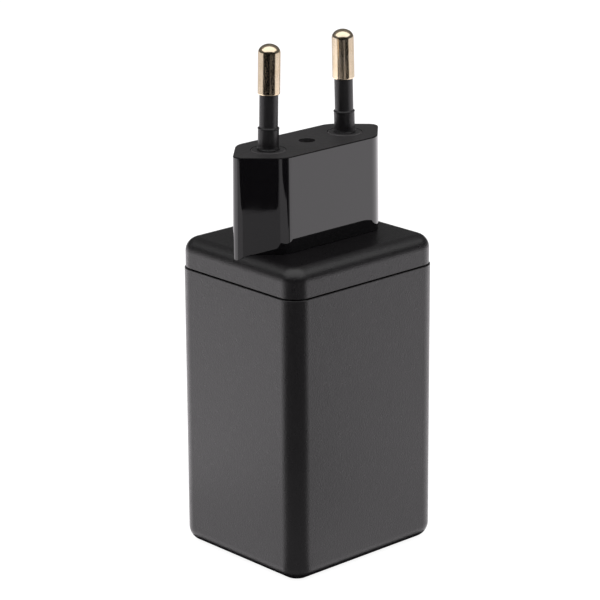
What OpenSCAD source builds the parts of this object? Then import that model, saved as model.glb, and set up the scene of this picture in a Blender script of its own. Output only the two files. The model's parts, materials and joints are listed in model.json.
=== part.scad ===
// Tall USB wall charger with a fixed two-pin European mains plug, in millimetres.
// It stands on its port end: X runs along the line of the two pins, Y across it, and Z up
// towards the pin tips. The origin is the middle of the port end.

/* [Housing] */
// Width of the housing along the line of the pins
body_w = 35.6; // [34:0.1:40]
// Depth of the housing across the line of the pins
body_d = 31.5; // [30:0.1:36]
// Height of the housing from the port end to the seam
body_h = 53.2; // [52:0.1:54]
// Radius of the upright corners
corner_r = 3.6; // [2.5:0.1:4]
// Radius of the edge round the port end
foot_r = 2.8; // [0.5:0.1:3]
// Thickness of the side walls
wall = 1.8; // [1.4:0.1:2]
// Thickness of the port end
floor_t = 2; // [1.5:0.1:2.5]

/* [Cap] */
// Height of the cap above the seam
cap_h = 5.4; // [5.3:0.1:6.5]
// How far the cap's sides stand back from the housing
cap_inset = 0.2; // [0.1:0.05:0.5]
// Open height of the seam
seam = 0.2; // [0.05:0.05:0.2]
// Radius of the cap's top edge
cap_edge_r = 2.6; // [1:0.1:2.8]
// Thickness of the cap's roof
roof_t = 2; // [1.6:0.1:2.2]

/* [Plug block] */
// Height of the plug block above the cap
block_h = 17.6; // [17:0.1:19]
// Width of the end face, across the line of the pins
block_d = 13.1; // [12:0.1:14]
// Distance from the centre to where the end face's slanted sides would meet
block_point = 17.8; // [17:0.05:18]
// Radius of the four blunt corners
blunt_r = 3.8; // [2:0.1:4]
// Radius of the two pointed ends
point_r = 1.75; // [1.6:0.05:2.5]
// How much each side widens from the end face down to the cap
draft = 0.15; // [0:0.01:0.5]
// Thickness of the plug block's walls
block_wall = 1.5; // [1.2:0.1:1.6]
// Thickness of the end face
face_t = 2.5; // [2:0.1:3]

/* [Pins] */
// Distance between the pins at the end face
pin_gap = 18.6; // [18:0.1:19.2]
// Distance between the pins at their tips
pin_tip_gap = 17.6; // [17:0.1:18]
// Length of a pin beyond the end face
pin_len = 19; // [18:0.1:19.5]
// Diameter of a pin's bare metal end
pin_d = 4; // [3.9:0.02:4.06]
// Length of the insulated part of a pin
sleeve_len = 10; // [9:0.1:10]
// Diameter of the insulating sleeve
sleeve_d = 3.35; // [3.2:0.05:3.8]
// Diameter of the sleeve's thicker collar
collar_d = 3.75; // [3.4:0.05:4]
// Length of the collar above the end face
collar_len = 4; // [2:0.1:5]

/* [Ports] */
// Place of the USB-A port across the port end
usb_a_y = 7; // [6:0.1:7.5]
// Places of the two USB-C ports across the port end
usb_c_ys = [-0.9, -7.9];
// How far the connectors' mouths stand back from the port end
mouth = 0.3; // [0.1:0.1:0.8]

/* [Hidden] */
$fn = 64;

e = 0.01;                                   // overrun of a cut past a face
fit_gap = 0.02;                             // radial play of pressed round parts
slip = 0.1;                                 // play of parts that slide together

// Levels
cap_base = body_h + seam;
cap_top = cap_base + cap_h;
cap_roof = cap_top - roof_t;
block_top = cap_top + block_h;
face_in = block_top - face_t;

// Inside of the housing and cap
in_w = body_w - 2 * wall;
in_d = body_d - 2 * wall;
in_r = corner_r - wall;
cap_w = body_w - 2 * cap_inset;
cap_d = body_d - 2 * cap_inset;
cap_r = corner_r - cap_inset;
lip_t = 1.2;
lip_len = 3;
lip_w = in_w - 2 * slip;
lip_d = in_d - 2 * slip;
bead = 0.25;                                // how far a snap bead stands out
bead_h = 0.7;
bead_len = 9;
bead_z = cap_base - 2;

// Neck that holds the plug block in the cap
neck_w = 27;
neck_d = 9.4;
neck_r = 1.5;
neck_t = 1.2;
neck_len = 3.7;
web_t = 1.5;                                // floor of the plug block
hook_w = 8;
hook_out = 0.7;
hook_h = 1.1;
hook_gap = 0.1;                             // play under the cap's roof

// Pins, measured along their own axis from the end face
pin_tilt = atan((pin_gap - pin_tip_gap) / 2 / pin_len);
head_r = pin_d / 2;
dome_h = 1.6;
head_edge = 0.25;
core_r = 1.15;                              // pin inside its sleeve
tail_r = 1.5;
tail_len = 13;
sleeve_root = 2;                            // depth of the sleeve in its bushing
root_r = 1.9;
flare_r = 2.05;
flare_h = 0.8;
flare_z = 0.06;
collar_step = 0.15;                         // half height of the slope below the thin sleeve
tail_edge = 0.3;
dimple_r = 1.4;
dimple_depth = 0.8;
bushing_r = 3.1;
bushing_flange_r = 4.2;
bushing_flange_h = 1.5;
contact_t = 0.5;
contact_w = 4;
contact_drop = 11.3;                        // end face to the contact's eye
contact_x = 11.4;                           // inner face of the contact's leg

// Boards
board_t = 1.2;
rail = 0.9;                                 // how far the rails stand in
rib_t = 0.8;
port_z = 14.6;                              // underside of the port board
main_y = 9.2;                               // front of the main board
control_y = -11.4;                          // front of the control board
input_z = 50.3;                             // underside of the input board
upright_w = 31;                             // width of the boards that stand in the rails
upright_top = 49.2;
tab_w = 3;
tab_x = 8;
tab_len = 1.6;
top_tab_w = 12;
top_tab_h = 2.3;
input_t = 1;
control_t = 1;
board_r = 1.5;                               // corner radius of the boards that lie flat
board_play = 0.2;                           // gap between a flat board and the wall round it
lead_r = 0.3;
hole_r = 0.4;                               // plated hole for a lead

// Mains input parts: centre or low corner, then size
fuse_at = [-1, 8.4, 53.3];
fuse_half = 5;
fuse_r = 1.6;
fuse_cap_r = 1.75;
fuse_cap_len = 2;
varistor_at = [5, -8.8, 51.5];
varistor_r = 3.4;
varistor_t = 3.3;
thermistor_at = [-5, -8.8, 51.5];
thermistor_r = 2.6;
thermistor_t = 3;
x_cap_at = [7.9, -9.9, 39];
x_cap_size = [6.3, 6.6, 10.9];
x_cap_pitch = 3.6;
y_cap_at = [10.6, 3.8, 33.4];
y_cap_r = 3.2;
y_cap_t = 3;

// Transformer, wound on an axis along X
tr = [-4.8, 0.8, 27.6];
tr_half = 9;
tr_leg = 10;                                // half height of the core
tr_leg_t = 1.9;
tr_plate_t = 2.5;
tr_depth = 12;
tr_post_r = 3.9;
tr_air = 0.05;                              // half of the gap in the core
bobbin_half = 6.3;
bobbin_t = 0.6;
bobbin_foot = [3.3, 2.2, 17];               // bar that holds the pins at each end
bobbin_foot_y = 7.2;
tr_pin_x = 7.8;
tr_pin_zs = [-6, -2, 2, 6];
tr_pin_len = 2.5;
flange_r = 7.9;
primary_r = 6.1;
secondary_r = 7.3;
tape_r = 7.6;

// Choke, a ring with its axis along X
choke = [10.9, 3.2, 43.9];
choke_mean_r = 3.9;
choke_core_w = 2.6;
choke_core_t = 4.4;
wire = 0.6;
turns = 8;
turn_step = 18;
turn_play = 0.02;                           // between the wire and the core
winding_starts = [27, 207];                 // angle of each winding's first turn
choke_lead = [-1, 2.6, 4.9];                // from the ring's centre to the end of a lead

// Round capacitors, lying across the main board
bulk_r = 4.9;
bulk_len = 15.9;
bulk_z = 43.9;
bulk_xs = [-9.3, 1.3];
shrink_t = 0.1;
out_cap_r = 3.15;
out_cap_len = 8.5;
out_cap_x = 10.4;
out_cap_zs = [21, 28];
cap_gap = 0.3;                              // cans stand clear of their board
can_edge = 0.3;
can_groove = 0.25;
can_groove_y = 2;
can_spots = concat([for (x = bulk_xs) [x, bulk_z, bulk_r]],
                   [for (z = out_cap_zs) [out_cap_x, z, out_cap_r]]);

// Chips as [x, z, width, height, legs on each side]
bridge_chip = [-7, 43, 10, 7, 2];
primary_chip = [5.5, 42, 8, 6.5, 6];
opto_chip = [8.5, 31, 4.6, 6, 2];
sync_chip = [-4, 23, 6, 5, 4];
leg_w = 0.5;
leg_out = 0.9;
front_chip_h = 0.9;

// Inductors on the control board
inductor_x = 10.4;
inductor_zs = [21, 29.5];
inductor_side = 7;
inductor_h = 3.6;
inductor_r = 0.8;
inductor_foot = [1.8, 0.2, 2.4];
inductor_foot_x = 2.6;

// Cooling
chip_h = 1.45;
pad_t = 1;
spreader_t = 0.6;
film_t = 0.2;
film_gap = 0.05;
pad_y = main_y + board_t + chip_h;
spreader_y = pad_y + pad_t;
film_y = spreader_y + spreader_t + film_gap;
pad_x = 12;                                 // half widths, then levels
pad_zs = [18, 48];
spreader_x = 14.5;
spreader_zs = [16.4, 48.5];
film_x = 15;
film_zs = [16.2, 49.3];
sheet_xs = [-14.8, 6.5];
sheet_y = -9;
sheet_t = 0.3;
sheet_zs = [17, 49];

// Ports
a_w = 12.5;                                 // inside of a USB-A shell
a_h = 5.12;
a_depth = 13.6;
a_tongue_w = 11.1;
a_tongue_t = 1.9;
a_tongue_off = 0.2;
a_tongue_in = 1;                            // tongue's end behind the mouth
a_back = 3.5;                               // thick rear of the insulator
a_contact_xs = [-3.5, -1, 1, 3.5];
a_contact_w = 1;
a_contact_zs = [1.6, 9.5];                  // behind the mouth
a_corner_r = 0.3;
c_w = 8.34;                                 // inside of a USB-C shell
c_h = 2.56;
c_tongue_w = 6.7;
c_tongue_t = 0.7;
c_tongue_in = 0.7;
c_contact_in = 1.2;
c_base_z = 7;                               // where the tongue's thick base begins
c_pitch = 0.5;
c_side_count = 12;
metal_t = 0.3;
contact_h = 0.1;
press = 0.02;                               // between an insulator and its shell
port_play = 0.2;                            // between a shell and the housing
port_lead_in = 0.4;
post = 3;

// ---- helpers ----

module at_pin(side)
    translate([side * pin_gap / 2, 0, block_top])
        rotate([0, -side * pin_tilt, 0]) children();

// Rectangle with round corners and exact arcs
module round_rect(w, d, r) {
    square([w, d - 2 * r], center = true);
    square([w - 2 * r, d], center = true);
    for (x = [-1, 1], y = [-1, 1])
        translate([x * (w / 2 - r), y * (d / 2 - r)]) circle(r);
}

module round_plate(w, d, r, z0, z1)
    translate([0, 0, z0]) linear_extrude(z1 - z0) round_rect(w, d, r);

// Upright section of a slab whose top edges are rounded
module edge_section(half, h, f) {
    translate([-half, 0]) square([2 * half, h - f]);
    translate([f - half, 0]) square([2 * (half - f), h]);
    for (x = [-1, 1]) translate([x * (half - f), h - f]) circle(f);
}

// Slab with upright corners of radius r and a top edge of radius f
module edged_slab(w, d, h, r, f) {
    rotate([90, 0, 0]) linear_extrude(d - 2 * r, center = true) edge_section(w / 2, h, f);
    rotate([90, 0, 90]) linear_extrude(w - 2 * r, center = true) edge_section(d / 2, h, f);
    for (x = [-1, 1], y = [-1, 1])
        translate([x * (w / 2 - r), y * (d / 2 - r), 0])
            rotate_extrude()
                intersection() {
                    edge_section(r, h, f);
                    square([r, h]);
                }
}

module cap_form() translate([0, 0, cap_base]) edged_slab(cap_w, cap_d, cap_h, cap_r, cap_edge_r);

// The plug block's tapered six-sided form, shrunk by inset on every side
module block_form(z0, z1, inset) {
    grow0 = draft * (block_top - z0) / block_h - inset;
    grow1 = draft * (block_top - z1) / block_h - inset;
    blunt_y = block_d / 2 - blunt_r;
    blunt_x = block_point - blunt_r * sqrt(2) - blunt_y;
    point_x = block_point - point_r * sqrt(2);
    hull() {
        for (x = [-1, 1], y = [-1, 1])
            translate([x * blunt_x, y * blunt_y, z0])
                cylinder(h = z1 - z0, r1 = blunt_r + grow0, r2 = blunt_r + grow1);
        for (x = [-1, 1])
            translate([x * point_x, 0, z0])
                cylinder(h = z1 - z0, r1 = point_r + grow0, r2 = point_r + grow1);
    }
}

module box(low, high) translate(low) cube(high - low);

module mirror_x() {
    children();
    mirror([1, 0, 0]) children();
}

// ---- casing ----

module board_rails(y)
    for (side = [-1, 1], rib = [y - slip / 2 - rib_t, y + board_t + slip / 2])
        box([side > 0 ? in_w / 2 - rail : -in_w / 2 - e, rib, port_z + board_t + slip],
            [side > 0 ? in_w / 2 + e : rail - in_w / 2, rib + rib_t, upright_top - 1]);

module port_posts()
    for (x = [-1, 1], y = [-1, 1])
        translate([x * (in_w / 2 - post / 2), y * (in_d / 2 - post / 2), floor_t - e])
            translate([0, 0, (port_z - floor_t) / 2])
                cube([post, post, port_z - floor_t], center = true);

// Each port's opening, with a shallow wider step at its mouth
module port_cuts() {
    for (cut = [[port_play, floor_t + e], [port_lead_in, mouth]]) {
        side = 2 * (metal_t + cut[0]);
        translate([0, usb_a_y, 0])
            round_plate(a_w + side, a_h + side, a_corner_r + side / 2, -e, cut[1]);
        for (y = usb_c_ys) translate([0, y, 0]) slot_plate(c_w + side, c_h + side, -e, cut[1]);
    }
}

// Plate with two half-round ends
module slot_plate(w, d, z0, z1)
    translate([0, 0, z0]) linear_extrude(z1 - z0) {
        square([w - d, d], center = true);
        for (x = [-1, 1]) translate([x * (w - d) / 2, 0]) circle(d = d);
    }

module snap_beads(grow) {
    for (y = [-1, 1])
        translate([0, y * lip_d / 2, bead_z])
            cube([bead_len + 2 * grow, 2 * (bead + grow), bead_h + 2 * grow], center = true);
    for (x = [-1, 1])
        translate([x * lip_w / 2, 0, bead_z])
            cube([2 * (bead + grow), bead_len + 2 * grow, bead_h + 2 * grow], center = true);
}

module main_housing() color([0.11, 0.11, 0.115]) {
    difference() {
        translate([0, 0, body_h]) mirror([0, 0, 1]) edged_slab(body_w, body_d, body_h, corner_r, foot_r);
        round_plate(in_w, in_d, in_r, floor_t, body_h + e);
        port_cuts();
        snap_beads(slip);
    }
    port_posts();
    board_rails(main_y);
    board_rails(control_y);
}

module top_cap() color([0.11, 0.11, 0.115])
    difference() {
        union() {
            cap_form();
            round_plate(lip_w, lip_d, in_r, cap_base - lip_len, cap_base + e);
            snap_beads(0);
        }
        round_plate(lip_w - 2 * lip_t, lip_d - 2 * lip_t, in_r / 2, cap_base - lip_len - e, cap_roof);
        round_plate(neck_w + 2 * slip, neck_d + 2 * slip, neck_r + slip, cap_roof - e, cap_top + e);
    }

module plug_block() color([0.05, 0.05, 0.055]) {
    difference() {
        block_form(cap_base + cap_h / 2, block_top, 0);
        block_form(cap_top + web_t, face_in, block_wall);
        cap_form();
        round_plate(neck_w - 2 * neck_t, neck_d - 2 * neck_t, neck_r - neck_t / 2,
                    cap_top - 1, cap_top + web_t + e);
        for (side = [-1, 1])
            translate([side * pin_gap / 2, 0, face_in - e])
                cylinder(h = face_t + 2 * e, r = bushing_r + fit_gap);
        translate([0, 0, block_top - dimple_depth]) cylinder(h = dimple_depth + e, r = dimple_r);
    }
    difference() {
        union() {
            round_plate(neck_w, neck_d, neck_r, cap_top - neck_len, cap_top + e);
            for (x = [-1, 1], y = [-1, 1])
                translate([x * neck_w / 4, y * neck_d / 2, cap_roof - hook_gap - hook_h / 2])
                    cube([hook_w, 2 * hook_out, hook_h], center = true);
        }
        round_plate(neck_w - 2 * neck_t, neck_d - 2 * neck_t, neck_r - neck_t / 2,
                    cap_top - neck_len - e, cap_top + 2 * e);
    }
}

// ---- pins ----

module pin() color([0.86, 0.81, 0.70]) {
    dome_start = pin_len - dome_h;
    rotate_extrude()
        polygon(concat(
            [[0, -tail_len], [tail_r - tail_edge, -tail_len], [tail_r, tail_edge - tail_len],
             [tail_r, -sleeve_root], [core_r, -sleeve_root], [core_r, sleeve_len],
             [head_r - head_edge, sleeve_len], [head_r, sleeve_len + head_edge]],
            [for (a = [0:10:90]) [head_r * cos(a), dome_start + dome_h * sin(a)]]));
}

module pin_sleeve() color([0.06, 0.06, 0.06])
    rotate_extrude()
        polygon([[core_r + fit_gap, -sleeve_root], [root_r, -sleeve_root], [root_r, flare_z],
                 [flare_r, flare_z], [collar_d / 2, flare_h], [collar_d / 2, collar_len - collar_step],
                 [sleeve_d / 2, collar_len + collar_step], [sleeve_d / 2, sleeve_len],
                 [core_r + fit_gap, sleeve_len]]);

module pin_bushing(side) color([0.08, 0.08, 0.085])
    difference() {
        translate([side * pin_gap / 2, 0, 0]) {
            translate([0, 0, face_in - bushing_flange_h])
                cylinder(h = bushing_flange_h, r = bushing_flange_r);
            translate([0, 0, face_in - e]) cylinder(h = face_t + e, r = bushing_r);
        }
        at_pin(side) {
            translate([0, 0, -sleeve_root]) cylinder(h = sleeve_root + 1, r = root_r + fit_gap);
            translate([0, 0, -tail_len]) cylinder(h = tail_len, r = tail_r + fit_gap);
        }
    }

// A stamped strip: an eye pressed on the pin's tail and a leg down to the input board
module pin_contact(side) color([0.80, 0.62, 0.30])
    mirror([side < 0 ? 1 : 0, 0, 0])
        difference() {
            eye_z = block_top - contact_drop - contact_t;
            union() {
                box([pin_gap / 2 - 2, -contact_w / 2, eye_z],
                    [contact_x + contact_t, contact_w / 2, eye_z + contact_t]);
                box([contact_x, -contact_w / 2, input_z],
                    [contact_x + contact_t, contact_w / 2, eye_z + e]);
            }
            at_pin(1) translate([0, 0, -tail_len - 1]) cylinder(h = tail_len, r = tail_r + fit_gap);
        }

// ---- boards ----

function pair(at, step) = [[at[0] - step, at[1]], [at[0] + step, at[1]]];

// Where leads pass through the input board
function input_holes() = concat(
    pair(fuse_at, fuse_half - fuse_cap_len / 2), pair(varistor_at, varistor_r / 2),
    pair(thermistor_at, thermistor_r / 2),
    [for (side = [-1, 1]) [choke[0] + choke_lead[0], choke[1] + side * choke_lead[1]]],
    [for (side = [-1, 1]) [x_cap_at[0] + x_cap_size[0] / 2,
                           x_cap_at[1] + x_cap_size[1] / 2 + side * x_cap_pitch / 2]]);

module input_board() color([0.10, 0.30, 0.16])
    difference() {
        round_plate(lip_w - 2 * (lip_t + board_play), lip_d - 2 * (lip_t + board_play), board_r,
                    input_z, input_z + input_t);
        mirror_x() box([contact_x - slip, -contact_w / 2 - slip, input_z - e],
                       [contact_x + contact_t + slip, contact_w / 2 + slip, input_z + input_t + e]);
        box([-top_tab_w / 2 - slip, main_y - slip, input_z - e],
            [top_tab_w / 2 + slip, main_y + board_t + slip, input_z + input_t + e]);
        for (at = input_holes())
            translate([at[0], at[1], input_z - e]) cylinder(h = input_t + 2 * e, r = hole_r);
    }

module upright_board(y, t) {
    box([-upright_w / 2, y, port_z + board_t], [upright_w / 2, y + t, upright_top]);
    mirror_x() box([tab_x, y, port_z + board_t - tab_len], [tab_x + tab_w, y + t, port_z + board_t + e]);
}

module main_board() color([0.10, 0.30, 0.16])
    difference() {
        union() {
            upright_board(main_y, board_t);
            box([-top_tab_w / 2, main_y, upright_top - e],
                [top_tab_w / 2, main_y + board_t, upright_top + top_tab_h]);
        }
        transformer_leads(hole_r);
        for (can = can_spots, side = [-1, 1])
            translate([can[0] + side * can[2] / 2, main_y - e, can[1]])
                rotate([-90, 0, 0]) cylinder(h = board_t + 2 * e, r = hole_r);
    }

module control_board() color([0.10, 0.30, 0.16]) upright_board(control_y, control_t);

module port_board() color([0.10, 0.30, 0.16])
    difference() {
        round_plate(in_w - 2 * board_play, in_d - 2 * board_play, board_r, port_z, port_z + board_t);
        for (y = [main_y, control_y])
            mirror_x() box([tab_x - slip, y - slip, port_z - e],
                           [tab_x + tab_w + slip, y + board_t + slip, port_z + board_t + e]);
    }

// ---- mains input ----

module lead(from, to) {
    d = to - from;
    translate(from)
        rotate([0, acos(d[2] / norm(d)), atan2(d[1], d[0])]) cylinder(h = norm(d), r = lead_r, $fn = 16);
}

// A flat round part on a board, with two leads down into it
module disc_part(at, r, t) {
    sunk = 0.4;
    translate(at) cylinder(h = t, r = r);
    for (x = [-1, 1]) lead(at + [x * r / 2, 0, sunk], [at[0] + x * r / 2, at[1], input_z]);
}

module fuse() color([0.82, 0.78, 0.70]) {
    translate(fuse_at - [fuse_half, 0, 0]) rotate([0, 90, 0]) cylinder(h = 2 * fuse_half, r = fuse_r);
    for (x = [-1, 1]) {
        middle = fuse_at + [x * (fuse_half - fuse_cap_len / 2), 0, 0];
        translate(middle) rotate([0, 90, 0]) cylinder(h = fuse_cap_len, r = fuse_cap_r, center = true);
        lead(middle - [0, 0, fuse_r / 2], [middle[0], middle[1], input_z]);
    }
}

module varistor() color([0.16, 0.34, 0.62]) disc_part(varistor_at, varistor_r, varistor_t);

module inrush_thermistor() color([0.10, 0.12, 0.10]) disc_part(thermistor_at, thermistor_r, thermistor_t);

module x_capacitor() color([0.78, 0.66, 0.22]) {
    box(x_cap_at, x_cap_at + x_cap_size);
    top = x_cap_at + [x_cap_size[0] / 2, x_cap_size[1] / 2, x_cap_size[2]];
    for (side = [-1, 1]) {
        at = top + [0, side * x_cap_pitch / 2, 0];
        lead(at - [0, 0, lead_r], [at[0], at[1], input_z + input_t]);
    }
}

module y_capacitor() color([0.20, 0.42, 0.66]) {
    translate(y_cap_at) cylinder(h = y_cap_t, r = y_cap_r);
    for (x = [-1, 1]) {
        at = y_cap_at + [x * y_cap_r / 2, y_cap_r / 2, y_cap_t / 2];
        lead(at, [at[0], main_y, at[2]]);
    }
}

module at_choke() translate(choke) rotate([0, 90, 0]) children();

module choke_core() color([0.16, 0.30, 0.20])
    at_choke()
        rotate_extrude()
            translate([choke_mean_r, 0]) square([choke_core_w, choke_core_t], center = true);

// One winding: separate square turns round one side of the ring, and its lead up to the board
module choke_winding(n) {
    at_choke()
        for (i = [0:turns - 1])
            rotate([0, 0, winding_starts[n] + i * turn_step])
                translate([choke_mean_r, 0, 0]) rotate([90, 0, 0])
                    linear_extrude(wire, center = true)
                        difference() {
                            square([choke_core_w + 2 * wire, choke_core_t + 2 * wire], center = true);
                            square([choke_core_w + 2 * turn_play, choke_core_t + 2 * turn_play], center = true);
                        }
    start = choke + [choke_lead[0], (n == 0 ? 1 : -1) * choke_lead[1], choke_lead[2]];
    lead(start, [start[0], start[1], input_z + input_t]);
}

module choke_winding_a() color([0.72, 0.36, 0.14]) choke_winding(0);
module choke_winding_b() color([0.72, 0.36, 0.14]) choke_winding(1);

// A can with a rolled groove near its sealed end, lying along Y with its leads at the board
module round_can(at, r, len) {
    edge = can_edge;
    y = can_groove_y;
    translate([at[0], main_y - cap_gap, at[1]]) rotate([90, 0, 0]) {
        rotate_extrude()
            polygon([[0, 0], [r - edge, 0], [r, edge], [r, y - edge], [r - can_groove, y],
                     [r, y + edge], [r, len - edge], [r - edge, len], [0, len]]);
        for (x = [-1, 1])
            translate([x * r / 2, 0, -cap_gap - board_t])
                cylinder(h = cap_gap + board_t + e, r = lead_r, $fn = 16);
    }
}

module shrink_sleeve(x)
    translate([x, main_y - cap_gap - can_edge, bulk_z]) rotate([90, 0, 0])
        difference() {
            cylinder(h = bulk_len - can_edge, r = bulk_r + shrink_t + fit_gap);
            translate([0, 0, -e]) cylinder(h = bulk_len, r = bulk_r + fit_gap);
        }

module bulk_capacitor_a() color([0.75, 0.75, 0.77]) round_can([bulk_xs[0], bulk_z], bulk_r, bulk_len);
module bulk_capacitor_b() color([0.75, 0.75, 0.77]) round_can([bulk_xs[1], bulk_z], bulk_r, bulk_len);
module bulk_sleeve_a() color([0.12, 0.10, 0.16]) shrink_sleeve(bulk_xs[0]);
module bulk_sleeve_b() color([0.12, 0.10, 0.16]) shrink_sleeve(bulk_xs[1]);

// ---- transformer ----

module at_transformer() translate(tr) children();

// Half of the core: a plate, two outer legs and the round centre leg
module core_half(side)
    at_transformer() mirror([side < 0 ? 1 : 0, 0, 0]) {
        box([tr_half - tr_plate_t, -tr_depth / 2, -tr_leg], [tr_half, tr_depth / 2, tr_leg]);
        for (z = [-tr_leg, tr_leg - tr_leg_t])
            box([tr_air, -tr_depth / 2, z], [tr_half - tr_plate_t + e, tr_depth / 2, z + tr_leg_t]);
        rotate([0, 90, 0]) translate([0, 0, tr_air]) cylinder(h = tr_half - tr_plate_t, r = tr_post_r);
    }

module transformer_core_a() color([0.20, 0.20, 0.21]) core_half(-1);
module transformer_core_b() color([0.20, 0.20, 0.21]) core_half(1);

module tube_x(half, r_out, r_in)
    rotate([0, 90, 0])
        difference() {
            cylinder(h = 2 * half, r = r_out, center = true);
            cylinder(h = 2 * half + 1, r = r_in, center = true);
        }

module transformer_bobbin() color([0.10, 0.10, 0.10])
    at_transformer() {
        bore = tr_post_r + slip;
        tube_x(bobbin_half, bore + bobbin_t, bore);
        for (x = [-1, 1]) {
            translate([x * (bobbin_half - bobbin_t / 2), 0, 0]) tube_x(bobbin_t / 2, flange_r, bore);
            translate([x * (tr_half - bobbin_foot[0] / 2), bobbin_foot_y, 0]) cube(bobbin_foot, center = true);
        }
    }

module transformer_leads(r)
    for (x = [-1, 1], z = tr_pin_zs)
        translate(tr + [x * tr_pin_x, tr_pin_x, z])
            rotate([-90, 0, 0]) cylinder(h = tr_pin_len, r = r);

module transformer_pins() color([0.80, 0.80, 0.80])
    difference() {
        transformer_leads(lead_r);
        transformer_bobbin();
    }

module transformer_primary() color([0.72, 0.36, 0.14])
    at_transformer() tube_x(bobbin_half - bobbin_t - slip, primary_r, tr_post_r + slip + bobbin_t + fit_gap);
module transformer_secondary() color([0.85, 0.80, 0.35])
    at_transformer() tube_x(bobbin_half - bobbin_t - slip, secondary_r, primary_r + fit_gap);
module transformer_tape() color([0.86, 0.70, 0.12])
    at_transformer() tube_x(bobbin_half - bobbin_t - slip, tape_r, secondary_r + fit_gap);

// ---- chips, output parts and cooling ----

// A chip on the back of the main board, with a row of legs along two sides
module back_chip(chip) {
    y = main_y + board_t;
    w = chip[2];
    h = chip[3];
    translate([chip[0], y, chip[1]]) {
        box([-w / 2, slip, -h / 2], [w / 2, chip_h, h / 2]);
        for (i = [0:chip[4] - 1], side = [-1, 1])
            translate([(i - (chip[4] - 1) / 2) * w / chip[4], leg_w / 2, side * h / 2])
                cube([leg_w, leg_w, 2 * leg_out], center = true);
    }
}

module bridge_rectifier() color([0.09, 0.09, 0.09]) back_chip(bridge_chip);
module primary_switch() color([0.09, 0.09, 0.09]) back_chip(primary_chip);
module optocoupler() color([0.09, 0.09, 0.09]) back_chip(opto_chip);
module sync_rectifier() color([0.09, 0.09, 0.09]) back_chip(sync_chip);

module output_capacitor_a() color([0.80, 0.80, 0.82])
    round_can([out_cap_x, out_cap_zs[0]], out_cap_r, out_cap_len);
module output_capacitor_b() color([0.80, 0.80, 0.82])
    round_can([out_cap_x, out_cap_zs[1]], out_cap_r, out_cap_len);

module buck_inductor(z) {
    y = control_y + control_t;
    side = inductor_side;
    foot = inductor_foot;
    translate([inductor_x, y + foot[1] / 2, z])
        rotate([-90, 0, 0]) linear_extrude(inductor_h) round_rect(side, side, inductor_r);
    for (x = [-1, 1])
        translate([inductor_x + x * inductor_foot_x, y + foot[1] / 2, z]) cube(foot, center = true);
}

module buck_inductor_a() color([0.30, 0.30, 0.32]) buck_inductor(inductor_zs[0]);
module buck_inductor_b() color([0.30, 0.30, 0.32]) buck_inductor(inductor_zs[1]);

// A leadless chip on the front of the control board
module front_chip(x, z, side)
    box([x - side / 2, control_y - front_chip_h, z - side / 2], [x + side / 2, control_y, z + side / 2]);

module pd_controller() color([0.09, 0.09, 0.09]) front_chip(0, 32, 5);
module port_switches() color([0.09, 0.09, 0.09]) for (x = [-8, 8]) front_chip(x, 23, 3.3);

module thermal_pad() color([0.55, 0.60, 0.72])
    box([-pad_x, pad_y, pad_zs[0]], [pad_x, spreader_y, pad_zs[1]]);

module heat_spreader() color([0.78, 0.79, 0.80])
    box([-spreader_x, spreader_y, spreader_zs[0]], [spreader_x, spreader_y + spreader_t, spreader_zs[1]]);

module insulating_film() color([0.86, 0.86, 0.80])
    box([-film_x, film_y, film_zs[0]], [film_x, film_y + film_t, film_zs[1]]);

module isolation_sheet() color([0.90, 0.90, 0.86])
    box([sheet_xs[0], sheet_y, sheet_zs[0]], [sheet_xs[1], sheet_y + sheet_t, sheet_zs[1]]);

// ---- ports ----

module usb_a_shell() color([0.78, 0.78, 0.80])
    translate([0, usb_a_y, 0])
        difference() {
            round_plate(a_w + 2 * metal_t, a_h + 2 * metal_t, a_corner_r + metal_t, mouth, mouth + a_depth);
            round_plate(a_w, a_h, a_corner_r, mouth - e, mouth + a_depth + e);
        }

module usb_a_insulator() color([0.07, 0.07, 0.08])
    translate([0, usb_a_y, 0]) {
        base = mouth + a_depth - a_back;
        round_plate(a_w - 2 * press, a_h - 2 * press, a_corner_r, base, port_z);
        box([-a_tongue_w / 2, a_tongue_off, mouth + a_tongue_in],
            [a_tongue_w / 2, a_tongue_off + a_tongue_t, base + e]);
    }

module usb_a_contacts() color([0.85, 0.68, 0.30])
    for (x = a_contact_xs)
        translate([x, usb_a_y, mouth])
            box([-a_contact_w / 2, a_tongue_off - contact_h, a_contact_zs[0]],
                [a_contact_w / 2, a_tongue_off, a_contact_zs[1]]);

module usb_c_shell(y) color([0.78, 0.78, 0.80])
    translate([0, y, 0])
        difference() {
            slot_plate(c_w + 2 * metal_t, c_h + 2 * metal_t, mouth, port_z);
            slot_plate(c_w, c_h, mouth - e, port_z + e);
        }

module usb_c_insulator(y) color([0.07, 0.07, 0.08])
    translate([0, y, 0]) {
        slot_plate(c_w - 2 * press, c_h - 2 * press, c_base_z, port_z);
        box([-c_tongue_w / 2, -c_tongue_t / 2, mouth + c_tongue_in],
            [c_tongue_w / 2, c_tongue_t / 2, c_base_z + e]);
    }

module usb_c_contacts(y) color([0.85, 0.68, 0.30])
    for (i = [0:c_side_count - 1], side = [-1, 1])
        translate([(i - (c_side_count - 1) / 2) * c_pitch, y + side * (c_tongue_t + contact_h) / 2,
                   (mouth + c_contact_in + c_base_z) / 2])
            cube([c_pitch / 2, contact_h, c_base_z - mouth - c_contact_in], center = true);

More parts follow.
